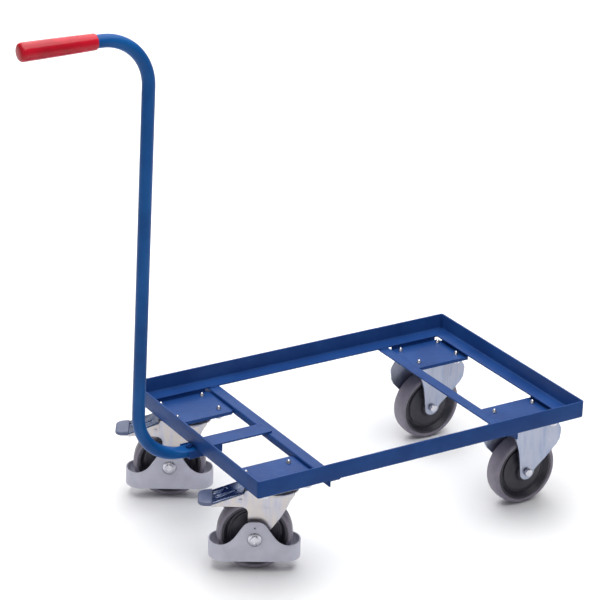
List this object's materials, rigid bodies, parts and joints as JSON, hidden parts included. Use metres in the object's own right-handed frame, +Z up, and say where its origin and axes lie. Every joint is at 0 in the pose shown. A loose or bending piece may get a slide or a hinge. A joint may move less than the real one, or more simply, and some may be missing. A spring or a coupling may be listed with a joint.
{
  "type": "box dolly",
  "caption": "Open angle-steel dolly for stacking boxes, on fixed and swivel castors with foot guards and brakes, with a bent tube push handle and grip",
  "frame": {"origin": "on the floor, under the middle of the whole object's box (handle, frame and castors as they stand)", "axes": "+X along the dolly away from the handle, +Y across it, +Z up"},
  "size_m": [0.937, 0.4438, 0.8989],
  "materials": {
    "blue_frame_paint": "blue powder coat, semi-gloss with a faint orange peel",
    "blue_handle_paint": "blue powder coat, semi-gloss",
    "red_grip": "moulded red PVC, glossy",
    "grey_tread": "grey thermoplastic rubber tread, satin",
    "dark_wheel_core": "dark grey moulded polypropylene",
    "grey_guard": "light grey moulded plastic, matte",
    "pedal_tip_plastic": "blue-grey moulded plastic",
    "brake_rubber": "black rubber pad",
    "zinc_sheet": "bright zinc-plated pressed steel",
    "zinc_fasteners": "bright zinc-plated fasteners"
  },
  "bodies": {
    "frame": {"axle_bolt_fixed_far": "zinc_fasteners", "axle_bolt_fixed_near": "zinc_fasteners", "axle_nut_fixed_far": "zinc_fasteners", "axle_nut_fixed_near": "zinc_fasteners", "axle_sleeve_fixed_far": "zinc_fasteners", "axle_sleeve_fixed_near": "zinc_fasteners", "balls_swivel_far": "zinc_fasteners", "balls_swivel_near": "zinc_fasteners", "castor_bolts": "zinc_fasteners", "castor_washers": "zinc_fasteners", "centre_bar": "blue_frame_paint", "corner_plate_front_far": "blue_frame_paint", "corner_plate_front_near": "blue_frame_paint", "corner_plate_rear_far": "blue_frame_paint", "corner_plate_rear_near": "blue_frame_paint", "cross_member_front": "blue_frame_paint", "cross_member_rear": "blue_frame_paint", "fork_fixed_far": "zinc_sheet", "fork_fixed_near": "zinc_sheet", "handle_bolts": "zinc_fasteners", "handle_grip": "red_grip", "handle_nut": "zinc_fasteners", "handle_socket": "blue_frame_paint", "handle_tube": "blue_handle_paint", "kingpin_swivel_far": "zinc_fasteners", "kingpin_swivel_near": "zinc_fasteners", "rail_far": "blue_frame_paint", "rail_front_end": "blue_frame_paint", "rail_handle_end": "blue_frame_paint", "rail_near": "blue_frame_paint", "top_plate_swivel_far": "zinc_sheet", "top_plate_swivel_near": "zinc_sheet", "upper_race_swivel_far": "zinc_fasteners", "upper_race_swivel_near": "zinc_fasteners"},
    "fixed_wheel_near": {"tyre_fixed_near": "grey_tread", "wheel_core_fixed_near": "dark_wheel_core"},
    "swivel_near": {"fork_swivel_near": "zinc_sheet", "axle_sleeve_swivel_near": "zinc_fasteners", "axle_bolt_swivel_near": "zinc_fasteners", "axle_nut_swivel_near": "zinc_fasteners", "foot_guard_swivel_near": "grey_guard", "pedal_pin_swivel_near": "zinc_fasteners"},
    "swivel_wheel_near": {"tyre_swivel_near": "grey_tread", "wheel_core_swivel_near": "dark_wheel_core"},
    "pedal_near": {"brake_pedal_swivel_near": "zinc_sheet", "pedal_tip_swivel_near": "pedal_tip_plastic", "brake_shoe_swivel_near": "brake_rubber"},
    "fixed_wheel_far": {"tyre_fixed_far": "grey_tread", "wheel_core_fixed_far": "dark_wheel_core"},
    "swivel_far": {"fork_swivel_far": "zinc_sheet", "axle_sleeve_swivel_far": "zinc_fasteners", "axle_bolt_swivel_far": "zinc_fasteners", "axle_nut_swivel_far": "zinc_fasteners", "foot_guard_swivel_far": "grey_guard", "pedal_pin_swivel_far": "zinc_fasteners"},
    "swivel_wheel_far": {"tyre_swivel_far": "grey_tread", "wheel_core_swivel_far": "dark_wheel_core"},
    "pedal_far": {"brake_pedal_swivel_far": "zinc_sheet", "pedal_tip_swivel_far": "pedal_tip_plastic", "brake_shoe_swivel_far": "brake_rubber"}
  },
  "joints": [
    {"name": "fixed_wheel_spin_near", "type": "hinge", "parent": "frame", "child": "fixed_wheel_near", "pos_m": [0.3935, -0.15288, 0.0625], "axis": [0, 1, 0], "continuous": true},
    {"name": "castor_swivel_near", "type": "hinge", "parent": "frame", "child": "swivel_near", "pos_m": [-0.0965, -0.15288, 0.145], "axis": [0, 0, 1], "continuous": true},
    {"name": "swivel_wheel_spin_near", "type": "hinge", "parent": "swivel_near", "child": "swivel_wheel_near", "pos_m": [-0.12595, -0.13588, 0.0625], "axis": [0.5, 0.866, 0], "continuous": true},
    {"name": "brake_pedal_press_near", "type": "hinge", "parent": "swivel_near", "child": "pedal_near", "pos_m": [-0.14673, -0.12388, 0.131], "axis": [-0.5, -0.866, 0], "range_deg": [0, 9]},
    {"name": "fixed_wheel_spin_far", "type": "hinge", "parent": "frame", "child": "fixed_wheel_far", "pos_m": [0.3935, 0.14112, 0.0625], "axis": [0, 1, 0], "continuous": true},
    {"name": "castor_swivel_far", "type": "hinge", "parent": "frame", "child": "swivel_far", "pos_m": [-0.0965, 0.14112, 0.145], "axis": [0, 0, 1], "continuous": true},
    {"name": "swivel_wheel_spin_far", "type": "hinge", "parent": "swivel_far", "child": "swivel_wheel_far", "pos_m": [-0.12595, 0.15812, 0.0625], "axis": [0.5, 0.866, 0], "continuous": true},
    {"name": "brake_pedal_press_far", "type": "hinge", "parent": "swivel_far", "child": "pedal_far", "pos_m": [-0.14673, 0.17012, 0.131], "axis": [-0.5, -0.866, 0], "range_deg": [0, 9]}
  ]
}
